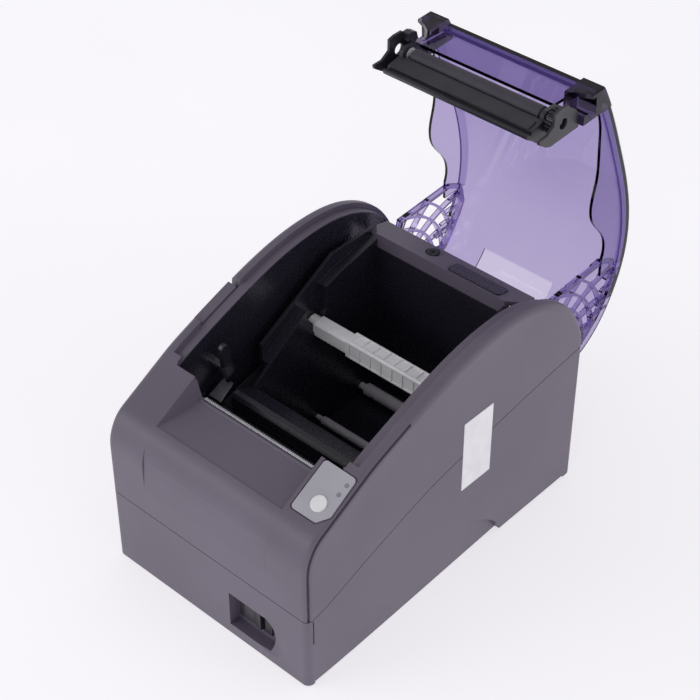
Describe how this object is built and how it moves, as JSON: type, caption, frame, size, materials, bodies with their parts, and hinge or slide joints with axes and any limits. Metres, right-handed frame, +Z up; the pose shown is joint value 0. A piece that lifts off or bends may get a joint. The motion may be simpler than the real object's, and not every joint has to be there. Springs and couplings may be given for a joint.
{
  "type": "fiscal receipt printer",
  "caption": "Desktop thermal receipt printer with arched cheeks, a see-through cover swung up on lattice arms, an open roll bay, a release lever and a front rocker switch.",
  "frame": {"origin": "on the desk, under the middle of the box round the printer with its cover open", "axes": "+X to the right seen from the front, +Y from the front to the rear, +Z up"},
  "size_m": [0.1482, 0.2825, 0.2521],
  "materials": {
    "case_plastic": "fine moulded texture",
    "bay_plastic": "smooth moulded",
    "cover_plastic": "clear smoky violet, polished",
    "block_plastic": "fine moulded texture",
    "black_plastic": "satin",
    "white_plastic": "smooth milky",
    "panel_plastic": "printed film",
    "button_plastic": "smooth",
    "lens_plastic": "clear",
    "foot_rubber": "matt",
    "platen_rubber": "ground",
    "bright_steel": "plated",
    "zinc_steel": "zinc plated sheet",
    "head_aluminium": "extruded",
    "head_ceramic": "glazed",
    "pinion_brass": "machined",
    "circuit_board": "lacquered",
    "label_paper": "coated paper"
  },
  "bodies": {
    "case": {"base_case": "case_plastic", "beam_pad": "bay_plastic", "beam_screw": "bright_steel", "case_screws": "bright_steel", "cheek_liners": "bay_plastic", "cover_switch": "black_plastic", "drawer_port": "black_plastic", "feed_switch": "black_plastic", "gear_post": "bright_steel", "head_spring": "bright_steel", "hinge_beam": "bay_plastic", "hinge_pins": "bright_steel", "indicator_lenses": "lens_plastic", "main_board": "circuit_board", "mechanism_frame": "zinc_steel", "memory_module": "black_plastic", "panel_board": "circuit_board", "panel_plate": "panel_plastic", "paper_bay": "bay_plastic", "paper_guide": "bay_plastic", "paper_sensor": "black_plastic", "power_socket": "black_plastic", "rubber_feet": "foot_rubber", "serial_port": "black_plastic", "side_bracket": "bright_steel", "side_label": "label_paper", "stepper_motor": "zinc_steel", "switch_housing": "black_plastic", "tear_bar": "bright_steel", "upper_case": "case_plastic", "usb_port": "black_plastic"},
    "cover": {"cover_shell": "cover_plastic", "corner_blocks": "block_plastic", "platen_carrier": "black_plastic", "carrier_brackets": "black_plastic", "carrier_screws": "bright_steel", "platen_bushes": "white_plastic"},
    "platen": {"platen_rubber": "platen_rubber", "platen_shaft": "bright_steel", "platen_gear": "white_plastic"},
    "release_lever": {"release_pad": "case_plastic", "latch_shaft": "bright_steel", "latch_hook": "black_plastic"},
    "thermal_head": {"print_head": "head_ceramic", "head_carrier": "head_aluminium"},
    "feed_button": {"feed_button": "button_plastic"},
    "power_rocker": {"power_rocker": "black_plastic"},
    "paper_spindle": {"paper_spindle": "white_plastic"},
    "front_roller": {"front_roller": "white_plastic"},
    "rear_roller": {"rear_roller": "white_plastic"},
    "motor_pinion": {"motor_pinion": "pinion_brass"},
    "idler_gear": {"idler_gear": "white_plastic"}
  },
  "joints": [
    {"name": "cover_hinge", "type": "hinge", "parent": "case", "child": "cover", "pos_m": [0, 0.0708, 0.0795], "axis": [1, 0, 0], "range_deg": [0, 87]},
    {"name": "platen_spin", "type": "hinge", "parent": "cover", "child": "platen", "pos_m": [0, 0.07106, 0.24214], "axis": [1, 0, 0], "continuous": true},
    {"name": "lever_press", "type": "hinge", "parent": "case", "child": "release_lever", "pos_m": [0, -0.0716, 0.105], "axis": [1, 0, 0], "range_deg": [-2.5, 0], "stiffness_Nm_per_rad": 0.6},
    {"name": "feed_press", "type": "slide", "parent": "case", "child": "feed_button", "axis": [0, -0.4808, 0.8768], "range_m": [-0.001, 0], "stiffness_N_per_m": 300},
    {"name": "power_rock", "type": "hinge", "parent": "case", "child": "power_rocker", "pos_m": [0.0286, -0.1312, 0.0197], "axis": [0, 0, 1], "range_deg": [0, 12]},
    {"name": "spindle_spin", "type": "hinge", "parent": "case", "child": "paper_spindle", "pos_m": [0, -0.0042, 0.099], "axis": [1, 0, 0], "continuous": true},
    {"name": "front_roller_spin", "type": "hinge", "parent": "case", "child": "front_roller", "pos_m": [0, -0.0067, 0.032], "axis": [1, 0, 0], "continuous": true},
    {"name": "rear_roller_spin", "type": "hinge", "parent": "case", "child": "rear_roller", "pos_m": [0, 0.0318, 0.032], "axis": [1, 0, 0], "continuous": true},
    {"name": "idler_spin", "type": "hinge", "parent": "case", "child": "idler_gear", "pos_m": [0.0522, -0.0938, 0.06975], "axis": [1, 0, 0], "continuous": true},
    {"name": "pinion_spin", "type": "hinge", "parent": "case", "child": "motor_pinion", "pos_m": [0.05, -0.1048, 0.05813], "axis": [1, 0, 0], "continuous": true},
    {"name": "head_tilt", "type": "hinge", "parent": "case", "child": "thermal_head", "pos_m": [0, -0.1027, 0.0755], "axis": [1, 0, 0], "range_deg": [0, 2], "stiffness_Nm_per_rad": 2}
  ],
  "couplings": [
    {"joint": "pinion_spin", "follows": "idler_spin", "ratio": -2.3333}
  ]
}
